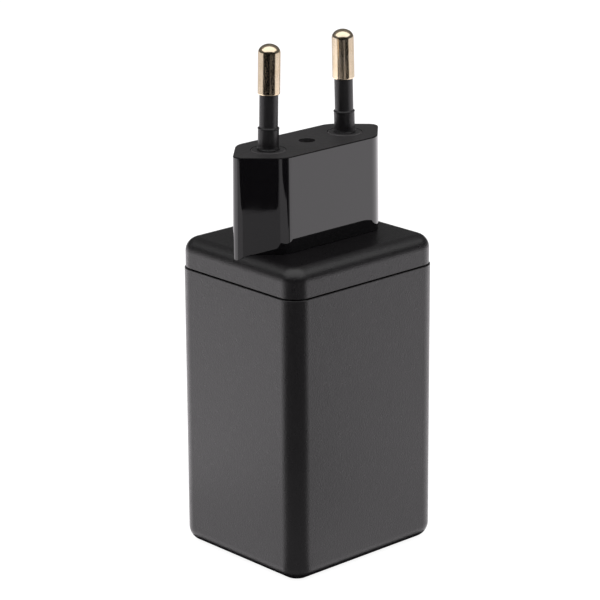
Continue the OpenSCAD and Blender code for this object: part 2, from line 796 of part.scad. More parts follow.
main_housing();
top_cap();
plug_block();
at_pin(-1) pin();  // pin_left
at_pin(1) pin();  // pin_right
at_pin(-1) pin_sleeve();  // pin_sleeve_left
at_pin(1) pin_sleeve();  // pin_sleeve_right
pin_bushing(-1);  // pin_bushing_left
pin_bushing(1);  // pin_bushing_right
pin_contact(-1);  // pin_contact_left
pin_contact(1);  // pin_contact_right
input_board();
main_board();
control_board();
port_board();
fuse();
varistor();
inrush_thermistor();
x_capacitor();
y_capacitor();
choke_core();
choke_winding_a();
choke_winding_b();
bulk_capacitor_a();
bulk_capacitor_b();
bulk_sleeve_a();
bulk_sleeve_b();
transformer_core_a();
transformer_core_b();
transformer_bobbin();
transformer_pins();
transformer_primary();
transformer_secondary();
transformer_tape();
bridge_rectifier();
primary_switch();
sync_rectifier();
optocoupler();
output_capacitor_a();
output_capacitor_b();
buck_inductor_a();
buck_inductor_b();
pd_controller();
port_switches();
thermal_pad();
heat_spreader();
insulating_film();
isolation_sheet();
usb_a_shell();
usb_a_insulator();
usb_a_contacts();
usb_c_shell(usb_c_ys[0]);  // usb_c_shell_a
usb_c_shell(usb_c_ys[1]);  // usb_c_shell_b
usb_c_insulator(usb_c_ys[0]);  // usb_c_insulator_a
usb_c_insulator(usb_c_ys[1]);  // usb_c_insulator_b
usb_c_contacts(usb_c_ys[0]);  // usb_c_contacts_a
usb_c_contacts(usb_c_ys[1]);  // usb_c_contacts_b
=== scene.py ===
import json
import math

import bpy
from mathutils import Matrix, Vector
from mathutils.geometry import tessellate_polygon


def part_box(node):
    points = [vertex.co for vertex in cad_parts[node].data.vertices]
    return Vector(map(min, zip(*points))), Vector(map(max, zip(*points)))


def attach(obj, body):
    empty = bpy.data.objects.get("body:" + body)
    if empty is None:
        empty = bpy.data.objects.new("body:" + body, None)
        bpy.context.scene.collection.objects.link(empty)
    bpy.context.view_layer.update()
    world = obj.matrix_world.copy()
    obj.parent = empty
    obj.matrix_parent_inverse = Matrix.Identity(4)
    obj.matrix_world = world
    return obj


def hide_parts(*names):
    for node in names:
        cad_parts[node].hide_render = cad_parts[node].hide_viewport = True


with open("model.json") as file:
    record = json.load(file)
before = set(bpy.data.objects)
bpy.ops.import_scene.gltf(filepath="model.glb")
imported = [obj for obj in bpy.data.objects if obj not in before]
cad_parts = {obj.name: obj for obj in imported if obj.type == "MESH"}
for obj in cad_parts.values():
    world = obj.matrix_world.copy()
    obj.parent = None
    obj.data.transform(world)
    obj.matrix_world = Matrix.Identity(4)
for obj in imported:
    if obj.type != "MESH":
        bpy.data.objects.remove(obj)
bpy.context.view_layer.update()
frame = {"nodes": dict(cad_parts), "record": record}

MM = 0.001

# ---- sizes ----

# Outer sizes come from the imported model, and the rest repeat the CAD model's own values.
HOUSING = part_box("main_housing")
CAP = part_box("top_cap")
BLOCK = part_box("plug_block")
BODY_W = HOUSING[1].x - HOUSING[0].x
BODY_D = HOUSING[1].y - HOUSING[0].y
BODY_H = HOUSING[1].z
CAP_W = CAP[1].x - CAP[0].x
CAP_D = CAP[1].y - CAP[0].y
CAP_TOP = CAP[1].z
BLOCK_TOP = BLOCK[1].z

CORNER_R = 3.6 * MM
FOOT_R = 2.8 * MM
WALL = 1.8 * MM
FLOOR_T = 2.0 * MM
SEAM = 0.2 * MM
CAP_BASE = BODY_H + SEAM
CAP_R = CORNER_R - (BODY_W - CAP_W) / 2
CAP_EDGE_R = 2.6 * MM
CAP_ROOF = CAP_TOP - 2.0 * MM
LIP_T = 1.2 * MM
LIP_BASE = CAP[0].z
SLIP = 0.1 * MM
IN_R = CORNER_R - WALL
BEAD = 0.25 * MM             # how far the cap's snap beads stand out
BEAD_HALF = (4.5 * MM, 0.35 * MM)    # half a bead's length and height
BEAD_Z = CAP_BASE - 2.0 * MM
POST = 3.0 * MM
PORT_Z = 14.6 * MM           # underside of the port board
RAIL = 0.9 * MM
RIB_T = 0.8 * MM
RIB_YS = (8.35 * MM, 10.45 * MM, -12.25 * MM, -10.15 * MM)
RIB_ZS = (15.9 * MM, 48.2 * MM)

BLOCK_D = 13.1 * MM
BLOCK_POINT = 17.8 * MM
BLUNT_R = 3.8 * MM
POINT_R = 1.75 * MM
DRAFT = 0.15 * MM
BLOCK_WALL = 1.5 * MM
FACE_IN = BLOCK_TOP - 2.5 * MM
WEB_TOP = CAP_TOP + 1.5 * MM
NECK = (27 * MM, 9.4 * MM, 1.5 * MM)     # width, depth and corner radius
NECK_T = 1.2 * MM
NECK_BASE = BLOCK[0].z
HOOK_W, HOOK_OUT, HOOK_H = 8 * MM, 0.7 * MM, 1.1 * MM
DIMPLE_R = 1.4 * MM
DIMPLE_DEPTH = 0.8 * MM

PIN_GAP = 18.6 * MM
PIN_TIP_GAP = 17.6 * MM
PIN_LEN = 19.0 * MM
PIN_TILT = math.atan((PIN_GAP - PIN_TIP_GAP) / 2 / PIN_LEN)
BUSHING_R = 3.1 * MM
BUSHING_PLAY = 0.02 * MM

USB_A_R = 0.6 * MM           # corner radius of the USB-A shell
INSULATOR_R = 0.3 * MM
USB_A_TONGUE = (11.1 * MM, 1.9 * MM, INSULATOR_R)
USB_A_TONGUE_Y = 1.15 * MM   # how far the tongue stands off the port's middle
USB_A_BASE_Z = 10.4 * MM
USB_A_SPRING_X = 3.2 * MM
USB_C_TONGUE = (6.7 * MM, 0.7 * MM, 0.2 * MM)
USB_C_BASE_Z = 7 * MM
SPRING_Z = (3.5 * MM, 9.5 * MM)

EDGE = 0.12 * MM             # small rounding on moulded edges
WELD = 0.0001 * MM           # grid on which points are welded
LEAST_R = 0.001 * MM         # an outline's arcs never shrink below this
LEVEL = 0.97                 # a face whose normal's Z is above this is flat

ROUND = 2 * math.pi


# ---- mesh building ----

class Shell:
    """Collects faces with exact normals, and welds points that share a place."""

    def __init__(self):
        self.points = []
        self.place = {}
        self.faces = []
        self.normals = []

    def point(self, p):
        key = tuple(round(c / WELD) for c in p)
        if key not in self.place:
            self.place[key] = len(self.points)
            self.points.append(tuple(p))
        return self.place[key]

    def face(self, corners, normals):
        """Adds a face, turned so that it faces the way its normals point."""
        ids, kept = [], []
        for p, n in zip(corners, normals):
            i = self.point(p)
            if i not in ids:
                ids.append(i)
                kept.append(Vector(n))
        if len(ids) < 3:
            return
        a, b, c = (Vector(self.points[i]) for i in ids[:3])
        flat = (b - a).cross(c - a)
        if len(ids) == 4:
            d = Vector(self.points[ids[3]])
            flat = (c - a).cross(d - b)
        if flat.dot(sum(kept, Vector())) < 0:
            ids.reverse()
            kept.reverse()
        self.faces.append(ids)
        self.normals.extend(n.normalized() for n in kept)

    def strip(self, ring_a, ring_b):
        """Joins two closed rings of (point, normal) with the same count."""
        n = len(ring_a)
        for i in range(n):
            j = (i + 1) % n
            quad = (ring_a[i], ring_a[j], ring_b[j], ring_b[i])
            self.face([q[0] for q in quad], [q[1] for q in quad])

    def flat(self, loops, normal):
        """Fills the area inside the first loop and outside the others."""
        rows = [[Vector(p) for p in loop] for loop in loops]
        points = [p for row in rows for p in row]
        for tri in tessellate_polygon(rows):
            self.face([points[i] for i in tri], [normal] * 3)

    def lathe(self, path, place=None, steps=64):
        """Turns a path of (radius, height, (normal radius, normal height)) round Z."""
        place = place or Matrix()
        turn = place.to_3x3()
        rings = []
        for r, h, (nr, nh) in path:
            ring = []
            for k in range(steps):
                a = ROUND * k / steps
                c, s = math.cos(a), math.sin(a)
                ring.append((place @ Vector((r * c, r * s, h)), turn @ Vector((nr * c, nr * s, nh))))
            rings.append(ring)
        for a, b in zip(rings[::2], rings[1::2]):
            self.strip(a, b)

    def rib(self, low, high, against):
        """A box that stands on a wall; against is the wall's axis and side, where it stays open."""
        ends = tuple(zip(low, high))
        for axis in range(3):
            for side in range(2):
                if (axis, side) == against:
                    continue
                n = [0, 0, 0]
                n[axis] = 2 * side - 1
                u, v = [k for k in range(3) if k != axis]
                corners = []
                for su, sv in ((0, 0), (1, 0), (1, 1), (0, 1)):
                    p = [0, 0, 0]
                    p[axis], p[u], p[v] = ends[axis][side], ends[u][su], ends[v][sv]
                    corners.append(p)
                self.face(corners, [n] * 4)

    def piece(self, name, material, slot, *nodes):
        mesh = bpy.data.meshes.new(name)
        mesh.from_pydata(self.points, [], self.faces)
        mesh.polygons.foreach_set("use_smooth", [True] * len(mesh.polygons))
        mesh.normals_split_custom_set(self.normals)
        mesh.materials.append(material)
        made = bpy.data.objects.new(name, mesh)
        bpy.context.scene.collection.objects.link(made)
        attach(made, "root")
        if nodes:
            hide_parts(*nodes)
        return made


class Outline:
    """A closed outline of arcs joined by straight runs, which can grow evenly on all sides."""

    def __init__(self, arcs, steps=12, runs=1):
        self.arcs, self.steps, self.runs = arcs, steps, runs

    def at(self, grow=0.0):
        """Points with their outward directions, anticlockwise."""
        rows = []
        for cx, cy, r, a0, a1 in self.arcs:
            for k in range(self.steps + 1):
                a = math.radians(a0 + (a1 - a0) * k / self.steps)
                out = (math.cos(a), math.sin(a))
                reach = max(r + grow, LEAST_R)
                rows.append(((cx + reach * out[0], cy + reach * out[1]), out, k == self.steps))
        made = []
        for i, (p, out, last) in enumerate(rows):
            made.append((p, out))
            if last:
                q = rows[(i + 1) % len(rows)][0]
                for k in range(1, self.runs):
                    t = k / self.runs
                    made.append(((p[0] + (q[0] - p[0]) * t, p[1] + (q[1] - p[1]) * t), out))
        return made

    def ring(self, grow, z, lean=(1, 0)):
        """The outline at a height; lean is the surface's normal, outward and up."""
        return [(Vector((p[0], p[1], z)), Vector((o[0] * lean[0], o[1] * lean[0], lean[1])))
                for p, o in self.at(grow)]

    def loop(self, grow, z):
        return [Vector((p[0], p[1], z)) for p, _ in self.at(grow)]


def moved(outline, x, y):
    arcs = [(cx + x, cy + y, r, a0, a1) for cx, cy, r, a0, a1 in outline.arcs]
    return Outline(arcs, outline.steps, outline.runs)


def rounded(w, d, r, steps=12, runs=1):
    x, y = w / 2 - r, d / 2 - r
    return Outline([(x, y, r, 0, 90), (-x, y, r, 90, 180), (-x, -y, r, 180, 270), (x, -y, r, 270, 360)],
                   steps, runs)


def stadium(w, d, steps=16):
    x = (w - d) / 2
    return Outline([(x, 0, d / 2, -90, 90), (-x, 0, d / 2, 90, 270)], steps)


def circle(r, x=0.0, y=0.0, steps=64):
    return Outline([(x, y, r, 0, 360 * (1 - 1 / steps))], steps - 1)


def line(g0, z0, g1, z1):
    """A straight stretch of profile, with the material on its left."""
    dg, dz = g1 - g0, z1 - z0
    length = math.hypot(dg, dz)
    n = (dz / length, -dg / length)
    return [(g0, z0, n), (g1, z1, n)]


def joined(points):
    """Pairs of profile points, one for each stretch between neighbours."""
    return [p for pair in zip(points, points[1:]) for p in pair]


def runs(*corners):
    """Straight stretches of profile from corner to corner."""
    return [p for a, b in zip(corners, corners[1:]) for p in line(*a, *b)]


def arc(cg, cz, r, a0, a1, steps=6):
    """A round stretch of profile: outward corner if the angle grows, hollow if it falls."""
    way = 1 if a1 > a0 else -1
    made = []
    for k in range(steps + 1):
        a = math.radians(a0 + (a1 - a0) * k / steps)
        n = (way * math.cos(a), way * math.sin(a))
        made.append((cg + r * math.cos(a), cz + r * math.sin(a), n))
    return joined(made)


def sweep(shell, outline, path):
    """Carries an outline along pairs of profile points."""
    for (g0, z0, n0), (g1, z1, n1) in zip(path[::2], path[1::2]):
        shell.strip(outline.ring(g0, z0, n0), outline.ring(g1, z1, n1))


def band(shell, a, za, b, zb, lean):
    """Joins two outlines, each at its height, by a strip with one lean."""
    shell.strip(a.ring(0, za, lean), b.ring(0, zb, lean))


UP, DOWN = (0, 0, 1), (0, 0, -1)


# ---- materials ----

class Material:
    """A node material. Values that are the same all over stay on the shader's own sockets."""

    def __init__(self, name, color, rough, metallic=0.0, ior=1.5, **sockets):
        self.made = bpy.data.materials.new(name)
        self.made.use_nodes = True
        self.nodes = self.made.node_tree.nodes
        self.links = self.made.node_tree.links
        self.shader = self.nodes["Principled BSDF"]
        self.shader.inputs["Base Color"].default_value = (*color, 1)
        self.shader.inputs["Roughness"].default_value = rough
        self.shader.inputs["Metallic"].default_value = metallic
        self.shader.inputs["IOR"].default_value = ior
        for key, value in sockets.items():
            self.shader.inputs[key.replace("_", " ")].default_value = value
        self.color, self.rough = color, rough
        self.where = self.add("ShaderNodeTexCoord").outputs["Object"]
        self.normal = None

    def add(self, kind, **values):
        node = self.nodes.new(kind)
        for key, value in values.items():
            setattr(node, key, value)
        return node

    def noise(self, size, detail=2.0, roughness=0.5, stretch=(1, 1, 1)):
        """Noise whose features are about size across, in metres."""
        scale = self.add("ShaderNodeMapping", vector_type="POINT")
        scale.inputs["Scale"].default_value = [s / size for s in stretch]
        self.links.new(self.where, scale.inputs["Vector"])
        made = self.add("ShaderNodeTexNoise")
        made.inputs["Scale"].default_value = 1.0
        made.inputs["Detail"].default_value = detail
        made.inputs["Roughness"].default_value = roughness
        self.links.new(scale.outputs["Vector"], made.inputs["Vector"])
        return made.outputs["Fac"]

    def ranged(self, source, low, high, start=0.3, end=0.7):
        """Maps a mask onto low to high."""
        made = self.add("ShaderNodeMapRange")
        for key, value in (("From Min", start), ("From Max", end), ("To Min", low), ("To Max", high)):
            made.inputs[key].default_value = value
        self.links.new(source, made.inputs["Value"])
        return made.outputs["Result"]

    def ridges(self, pitch, axis="X"):
        """Even round ridges across an axis."""
        period = 0.314      # of the wave texture at scale 1
        made = self.add("ShaderNodeTexWave", bands_direction=axis)
        made.inputs["Scale"].default_value = period / pitch
        self.links.new(self.where, made.inputs["Vector"])
        return made.outputs["Fac"]

    def beyond(self, axis, centre, half):
        """A mask that is 1 where the surface is farther than half from a level."""
        split = self.add("ShaderNodeSeparateXYZ")
        self.links.new(self.where, split.inputs[0])
        value = split.outputs[axis]
        for operation, level in (("SUBTRACT", centre), ("ABSOLUTE", 0.0), ("GREATER_THAN", half)):
            step = self.add("ShaderNodeMath", operation=operation)
            self.links.new(value, step.inputs[0])
            step.inputs[1].default_value = level
            value = step.outputs[0]
        return value

    def second(self, mask, color, rough):
        """Bare metal where the mask is 1."""
        for socket, kind, value in (("Base Color", "RGBA", (*color, 1)), ("Roughness", "FLOAT", rough)):
            target = self.shader.inputs[socket]
            mix = self.add("ShaderNodeMix", data_type=kind)
            if target.is_linked:
                self.links.new(target.links[0].from_socket, mix.inputs["A"])
            else:
                mix.inputs["A"].default_value = target.default_value
            mix.inputs["B"].default_value = value
            self.links.new(mask, mix.inputs["Factor"])
            self.links.new(mix.outputs["Result"], target)
        self.links.new(mask, self.shader.inputs["Metallic"])

    def vary_rough(self, source, spread):
        self.links.new(self.ranged(source, self.rough - spread, self.rough + spread),
                       self.shader.inputs["Roughness"])

    def vary_color(self, source, other, start=0.3, end=0.7):
        mix = self.add("ShaderNodeMix", data_type="RGBA")
        mix.inputs["A"].default_value = (*self.color, 1)
        mix.inputs["B"].default_value = (*other, 1)
        self.links.new(self.ranged(source, 0, 1, start, end), mix.inputs["Factor"])
        self.links.new(mix.outputs["Result"], self.shader.inputs["Base Color"])

    def bump(self, source, depth, strength=1.0):
        """Adds relief of the given depth, in metres, over any that is there."""
        made = self.add("ShaderNodeBump")
        made.inputs["Strength"].default_value = strength
        made.inputs["Distance"].default_value = depth
        self.links.new(source, made.inputs["Height"])
        if self.normal:
            self.links.new(self.normal, made.inputs["Normal"])
        self.normal = made.outputs["Normal"]
        self.links.new(self.normal, self.shader.inputs["Normal"])


def textured_plastic(name, color, rough, grain=0.16 * MM, depth=0.004 * MM):
    """Moulded plastic with a fine spark-eroded grain."""
    m = Material(name, color, rough)
    m.vary_color(m.noise(6 * MM, 3), [c * 1.25 for c in color])
    m.vary_rough(m.noise(0.9 * MM, 4), 0.03)
    m.bump(m.noise(grain, 2, 0.6), depth)
    return m.made


def glossy_plastic(name, color, rough, **sockets):
    """Polished plastic: nearly a mirror, with a faint ripple from the mould."""
    m = Material(name, color, rough, **sockets)
    m.vary_color(m.noise(8 * MM, 2), [c * 1.2 for c in color])
    m.vary_rough(m.noise(1.6 * MM, 4, 0.65), rough * 0.5)
    m.bump(m.noise(7 * MM, 1), 0.01 * MM)
    m.bump(m.noise(0.25 * MM, 3), 0.0003 * MM)
    return m.made


def plated_metal(name, color, tint, rough):
    """Plated metal with fine scratches along Z and a warmer, duller bloom in places."""
    m = Material(name, color, rough, metallic=1.0)
    m.vary_color(m.noise(2.5 * MM, 3), tint)
    scratches = m.noise(0.12 * MM, 3, 0.6, (1, 1, 0.06))
    m.vary_rough(scratches, rough * 0.45)
    m.bump(scratches, 0.0006 * MM)
    return m.made


def simple(name, color, other, rough, metallic=0.0, size=1.0 * MM, depth=0.01 * MM, stretch=(1, 1, 1)):
    """A material with its own colour change, roughness change and relief."""
    m = Material(name, color, rough, metallic)
    m.vary_color(m.noise(size * 2.5, 3, 0.5, stretch), other)
    m.vary_rough(m.noise(size, 3, 0.5, stretch), min(0.1, rough * 0.4))
    m.bump(m.noise(size * 0.5, 3, 0.6, stretch), depth)
    return m.made


HOUSING_BLACK = textured_plastic("satin_black", (0.0055, 0.0048, 0.0056), 0.3, 0.23 * MM, 0.055 * MM)
BLOCK_GLOSS = glossy_plastic("polished_black", (0.0042, 0.0038, 0.0045), 0.03)
BLOCK_MATTE = textured_plastic("end_face_black", (0.027, 0.0255, 0.0265), 0.5, 0.25 * MM, 0.012 * MM)
# A lighter grey for the bushings' rounded top edge: a painted highlight, the thin light ring round each
# pin.
PAINTED_RIM_HIGHLIGHT = textured_plastic("painted_rim_highlight", (0.09, 0.086, 0.088), 0.45, 0.3 * MM, 0.006 * MM)
EDGE_BLACK = glossy_plastic("edge_black", (0.004, 0.0036, 0.004), 0.2, Specular_IOR_Level=0.12)
SLEEVE_BLACK = textured_plastic("sleeve_black", (0.0078, 0.007, 0.008), 0.37, 0.25 * MM, 0.020 * MM)
PIN_METAL = plated_metal("nickel_plated_brass", (0.82, 0.69, 0.52), (0.74, 0.60, 0.42), 0.18)
SHELL_STEEL = simple("stainless", (0.62, 0.62, 0.63), (0.50, 0.50, 0.52), 0.26, 1.0,
                     0.15 * MM, 0.001 * MM, (1, 1, 0.1))
TONGUE_BLACK = textured_plastic("connector_black", (0.012, 0.012, 0.013), 0.45)


# ---- casing ----

PORT_PLAY = 0.2 * MM         # gap round a port's shell
PORT_LEAD_IN = 0.4 * MM      # gap at the wider mouth
MOUTH = 0.3 * MM             # depth of the mouth


def grooved_wall(shell, w, d, r, z0, z1, steps=14):
    """The inside of the housing's walls, with a groove for a snap bead on each side."""
    half, tall = (h + SLIP for h in BEAD_HALF)
    low_z, high_z = BEAD_Z - tall, BEAD_Z + tall
    for quarter in range(4):
        turn = Matrix.Rotation(quarter * math.pi / 2, 3, "Z")
        reach, along = (w / 2, d / 2 - r) if quarter % 2 == 0 else (d / 2, w / 2 - r)

        def at(u, z, out=0.0):
            return turn @ Vector((reach + out, u, z))

        inward = turn @ Vector((-1, 0, 0))
        spots = ((-half, low_z), (half, low_z), (half, high_z), (-half, high_z))
        hole = [at(*s) for s in spots]
        back = [at(*s, BEAD) for s in spots]
        shell.flat([[at(-along, z0), at(along, z0), at(along, z1), at(-along, z1)], hole], inward)
        shell.face(back, [inward] * 4)
        for i in range(4):
            j = (i + 1) % 4
            n = at(0, BEAD_Z) - (hole[i] + hole[j]) / 2
            shell.face([hole[i], hole[j], back[j], back[i]], [n] * 4)
        corner = []
        for k in range(steps + 1):
            a = math.pi / 2 * k / steps
            out = turn @ Vector((math.cos(a), math.sin(a), 0))
            corner.append((at(along, 0, -r) + out * r, -out))
        for (p, n), (q, m) in zip(corner, corner[1:]):
            low, high = Vector((0, 0, z0)), Vector((0, 0, z1))
            shell.face([p + low, q + low, q + high, p + high], [n, m, m, n])


def posts_and_rails(shell, x, y, steps=14):
    """Corner posts under the port board, and ribs that hold the upright boards by their edges."""
    for sx in (-1, 1):
        for sy in (-1, 1):
            near_x, near_y = sx * (x - POST), sy * (y - POST)
            foot, head = Vector((0, 0, FLOOR_T)), Vector((0, 0, PORT_Z))
            inside, on_x = Vector((near_x, near_y, 0)), Vector((sx * x, near_y, 0))
            on_y = Vector((near_x, sy * y, 0))
            for p, n in ((on_x, (0, -sy, 0)), (on_y, (-sx, 0, 0))):
                shell.face([inside + foot, p + foot, p + head, inside + head], [n] * 4)
            bend = [Vector((sx * (x - IN_R + IN_R * math.cos(a)),
                            sy * (y - IN_R + IN_R * math.sin(a)), 0))
                    for a in (math.pi / 2 * k / steps for k in range(steps + 1))]
            shell.flat([[p + head for p in [inside, on_x] + bend + [on_y]]], UP)
        for rib in RIB_YS:
            low, high = sorted((sx * x, sx * (x - RAIL)))
            shell.rib((low, rib, RIB_ZS[0]), (high, rib + RIB_T, RIB_ZS[1]), (0, (sx + 1) // 2))


def make_housing():
    shell = Shell()
    outer = rounded(BODY_W, BODY_D, CORNER_R, 14)
    inner = rounded(BODY_W - 2 * WALL, BODY_D - 2 * WALL, IN_R, 14)
    ports = [centred("usb_a_shell", r=USB_A_R), centred("usb_c_shell_a"), centred("usb_c_shell_b")]
    path = (arc(-FOOT_R, FOOT_R, FOOT_R, -90, 0, 10)
            + line(0, FOOT_R, 0, BODY_H - EDGE)
            + arc(-EDGE, BODY_H - EDGE, EDGE, 0, 90, 4))
    sweep(shell, outer, path)
    shell.strip(outer.ring(-EDGE, BODY_H, (0, 1)), inner.ring(0, BODY_H, (0, 1)))
    grooved_wall(shell, BODY_W - 2 * WALL, BODY_D - 2 * WALL, IN_R, FLOOR_T, BODY_H)
    posts_and_rails(shell, BODY_W / 2 - WALL, BODY_D / 2 - WALL)
    lip = 0.05 * MM
    for port in ports:
        sweep(shell, port, runs((PORT_PLAY, FLOOR_T), (PORT_PLAY, MOUTH), (PORT_LEAD_IN, MOUTH),
                                (PORT_LEAD_IN, lip), (PORT_LEAD_IN + lip, 0)))
    shell.flat([outer.loop(-FOOT_R, 0)] + [p.loop(PORT_LEAD_IN + lip, 0) for p in ports], DOWN)
    shell.flat([inner.loop(0, FLOOR_T)] + [p.loop(PORT_PLAY, FLOOR_T) for p in ports], UP)
    return shell.piece("housing_shell", HOUSING_BLACK, "housing_plastic", "main_housing")


def make_cap():
    shell = Shell()
    outer = rounded(CAP_W, CAP_D, CAP_R, 14)
    lip_w, lip_d = BODY_W - 2 * WALL - 2 * SLIP, BODY_D - 2 * WALL - 2 * SLIP
    lip = rounded(lip_w, lip_d, IN_R, 14)
    room = rounded(lip_w - 2 * LIP_T, lip_d - 2 * LIP_T, IN_R / 2, 14)
    neck = rounded(NECK[0] + 2 * SLIP, NECK[1] + 2 * SLIP, NECK[2] + SLIP, 8)
    small = EDGE / 2
    path = (arc(-small, CAP_BASE + small, small, -90, 0, 3)
            + line(0, CAP_BASE + small, 0, CAP_TOP - CAP_EDGE_R)
            + arc(-CAP_EDGE_R, CAP_TOP - CAP_EDGE_R, CAP_EDGE_R, 0, 90, 12))
    sweep(shell, outer, path)
    shell.flat([outer.loop(-CAP_EDGE_R, CAP_TOP), neck.loop(0, CAP_TOP)], UP)
    band(shell, neck, CAP_TOP, neck, CAP_ROOF, (-1, 0))
    shell.flat([room.loop(0, CAP_ROOF), neck.loop(0, CAP_ROOF)], DOWN)
    band(shell, room, CAP_ROOF, room, LIP_BASE, (-1, 0))
    band(shell, room, LIP_BASE, lip, LIP_BASE, (0, -1))
    band(shell, lip, LIP_BASE, lip, CAP_BASE, (1, 0))
    shell.strip(lip.ring(0, CAP_BASE, (0, -1)), outer.ring(-small, CAP_BASE, (0, -1)))
    half, tall = BEAD_HALF
    for axis, reach in ((0, lip_w / 2), (1, lip_d / 2)):
        for side in (-1, 1):
            across = sorted((side * reach, side * (reach + BEAD)))
            spans = [across, (-half, half)] if axis == 0 else [(-half, half), across]
            low, high = zip(*spans, (BEAD_Z - tall, BEAD_Z + tall))
            shell.rib(low, high, (axis, (1 - side) // 2))
    return shell.piece("cap_shell", HOUSING_BLACK, "housing_plastic", "top_cap")


def block_outline(runs):
    """The six-sided plan of the end face: two round points and four blunt corners."""
    blunt_y = BLOCK_D / 2 - BLUNT_R
    blunt_x = BLOCK_POINT - BLUNT_R * math.sqrt(2) - blunt_y
    point_x = BLOCK_POINT - POINT_R * math.sqrt(2)
    return Outline([(point_x, 0, POINT_R, -45, 45), (blunt_x, blunt_y, BLUNT_R, 45, 90),
                    (-blunt_x, blunt_y, BLUNT_R, 90, 135), (-point_x, 0, POINT_R, 135, 225),
                    (-blunt_x, -blunt_y, BLUNT_R, 225, 270), (blunt_x, -blunt_y, BLUNT_R, 270, 315)],
                   12, runs)


def cap_height(x, y):
    """Height of the cap's outside over a point."""
    flat_x, flat_y = CAP_W / 2 - CAP_R, CAP_D / 2 - CAP_R
    reach = math.hypot(max(abs(x) - flat_x, 0), max(abs(y) - flat_y, 0)) - (CAP_R - CAP_EDGE_R)
    if min(abs(x) - flat_x, abs(y) - flat_y) < 0:
        reach = max(abs(x) - CAP_W / 2, abs(y) - CAP_D / 2) + CAP_EDGE_R
    drop = min(max(reach, 0), CAP_EDGE_R)
    return CAP_TOP - CAP_EDGE_R + math.sqrt(CAP_EDGE_R ** 2 - drop ** 2)


def make_block():
    shell = Shell()
    outline = block_outline(8)
    height = BLOCK_TOP - CAP_TOP
    slope = math.atan(DRAFT / height)
    side = (math.cos(slope), math.sin(slope))

    def wide(z):
        return DRAFT * (BLOCK_TOP - z) / height

    bevel = 0.2 * MM
    # The foot follows the cap's top and its round edge, with a hair-thin slanted edge.
    seat = 0.07 * MM
    foot, seated = [], []
    for i in range(len(outline.at())):
        z = CAP_TOP
        for _ in range(4):
            (x, y), out = outline.at(wide(z))[i]
            z = cap_height(x, y)
        n = Vector((out[0] * side[0], out[1] * side[0], side[1]))
        foot.append((Vector((x, y, z + seat)), n))
        seated.append((Vector((x - out[0] * seat, y - out[1] * seat, z)), Vector((out[0], out[1], -1))))
    top_ring = outline.ring(wide(BLOCK_TOP - bevel), BLOCK_TOP - bevel, side)
    shell.strip(foot, top_ring)
    shell.strip([(p, m) for (p, _), (_, m) in zip(foot, seated)], seated)
    sweep(shell, outline, arc(-bevel + wide(BLOCK_TOP - bevel), BLOCK_TOP - bevel, bevel, 0, 90, 4))

    holes = [circle(BUSHING_R + BUSHING_PLAY, s * PIN_GAP / 2) for s in (-1, 1)]
    dimple = circle(DIMPLE_R, steps=40)
    small = 0.1 * MM
    shell.flat([outline.loop(wide(BLOCK_TOP - bevel) - bevel, BLOCK_TOP)]
               + [h.loop(small, BLOCK_TOP) for h in holes] + [dimple.loop(small, BLOCK_TOP)], UP)
    for hole, floor in [(h, FACE_IN) for h in holes] + [(dimple, BLOCK_TOP - DIMPLE_DEPTH)]:
        path = arc(small, BLOCK_TOP - small, small, 90, 180, 3)
        sweep(shell, hole, path + line(0, BLOCK_TOP - small, 0, floor))
    shell.flat([dimple.loop(0, BLOCK_TOP - DIMPLE_DEPTH)], UP)

    room_w = [wide(z) - BLOCK_WALL for z in (FACE_IN, WEB_TOP)]
    shell.flat([outline.loop(room_w[0], FACE_IN)] + [h.loop(0, FACE_IN) for h in holes], DOWN)
    shell.strip(outline.ring(room_w[0], FACE_IN, (-1, 0)), outline.ring(room_w[1], WEB_TOP, (-1, 0)))
    bore = rounded(NECK[0] - 2 * NECK_T, NECK[1] - 2 * NECK_T, NECK[2] - NECK_T / 2, 8)
    neck = rounded(*NECK, 8)
    shell.flat([outline.loop(room_w[1], WEB_TOP), bore.loop(0, WEB_TOP)], UP)
    band(shell, bore, WEB_TOP, bore, NECK_BASE, (-1, 0))
    band(shell, bore, NECK_BASE, neck, NECK_BASE, (0, -1))
    band(shell, neck, NECK_BASE, neck, CAP_TOP, (1, 0))
    shell.flat([[p for p, _ in seated], neck.loop(0, CAP_TOP)], DOWN)
    for side in (-1, 1):
        across = sorted((side * NECK[1] / 2, side * (NECK[1] / 2 + HOOK_OUT)))
        for x in (-NECK[0] / 4, NECK[0] / 4):
            shell.rib((x - HOOK_W / 2, across[0], CAP_ROOF - SLIP - HOOK_H),
                      (x + HOOK_W / 2, across[1], CAP_ROOF - SLIP), (1, (1 - side) // 2))
    made = shell.piece("plug_block_shell", BLOCK_GLOSS, "gloss_plastic", "plug_block")
    made.data.materials.append(BLOCK_MATTE)
    made.data.materials.append(EDGE_BLACK)
    for face in made.data.polygons:
        if face.center.z > BLOCK_TOP - bevel and abs(face.normal.z) < LEVEL:
            face.material_index = 2
        elif face.center.z > BLOCK_TOP - DIMPLE_DEPTH * 1.01 and face.normal.z > -0.5:
            up = face.normal.z > LEVEL or math.hypot(*face.center.xy) < DIMPLE_R * 1.1
            face.material_index = 1 if up else 0
    return made


# ---- pins ----

def pin_place(side):
    """Frame of a pin: on the end face, leaning towards the other pin."""
    lean = Matrix.Rotation(-side * PIN_TILT, 4, "Y")
    return Matrix.Translation((side * PIN_GAP / 2, 0, BLOCK_TOP)) @ lean


